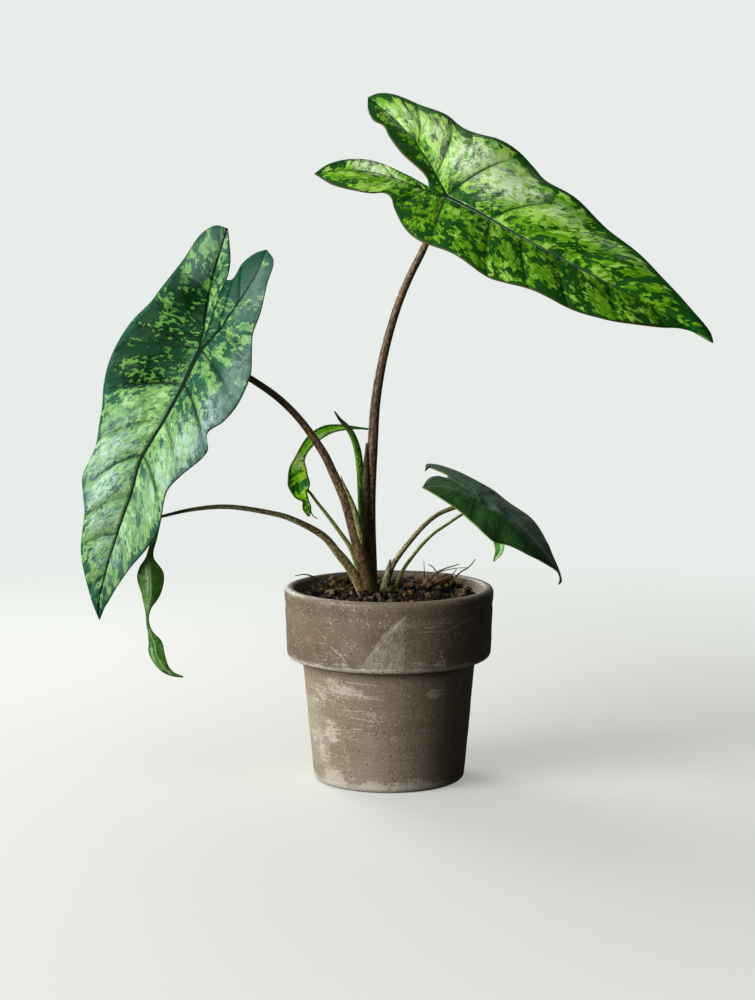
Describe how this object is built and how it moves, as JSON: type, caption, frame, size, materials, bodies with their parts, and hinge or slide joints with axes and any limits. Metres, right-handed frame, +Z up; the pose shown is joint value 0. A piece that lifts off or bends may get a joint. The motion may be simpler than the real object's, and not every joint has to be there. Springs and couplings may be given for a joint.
{
  "type": "potted shattered glass alocasia",
  "caption": "Potted aroid with long arrow-shaped mottled leaves on bare speckled stalks, rising from soil in a plain unglazed clay pot with a thick collar.",
  "frame": {"origin": "on the surface that the pot stands on, under the middle of the whole plant's bounding box, 1.4 mm from the pot's own axis", "axes": "+Z up along the pot's axis, +X towards the tall leaf's tip, -Y towards the viewer"},
  "size_m": [0.3524, 0.12, 0.3921],
  "materials": {
    "clay": "matte",
    "soil": "matte",
    "corm": "matte",
    "stalk": "satin",
    "green_stalk": "satin",
    "leaf": "satin",
    "dark_leaf": "satin",
    "bright_leaf": "satin"
  },
  "bodies": {
    "root": {"pot": "clay", "soil": "soil", "corm": "corm", "tall_petiole": "stalk", "tall_blade": "leaf", "left_petiole": "stalk", "left_blade": "leaf", "right_petiole": "green_stalk", "right_blade": "dark_leaf", "trailing_petiole": "green_stalk", "trailing_blade": "leaf", "curled_petiole": "green_stalk", "curled_blade": "bright_leaf", "small_petiole": "green_stalk", "small_blade": "bright_leaf", "spear": "bright_leaf"}
  },
  "joints": []
}
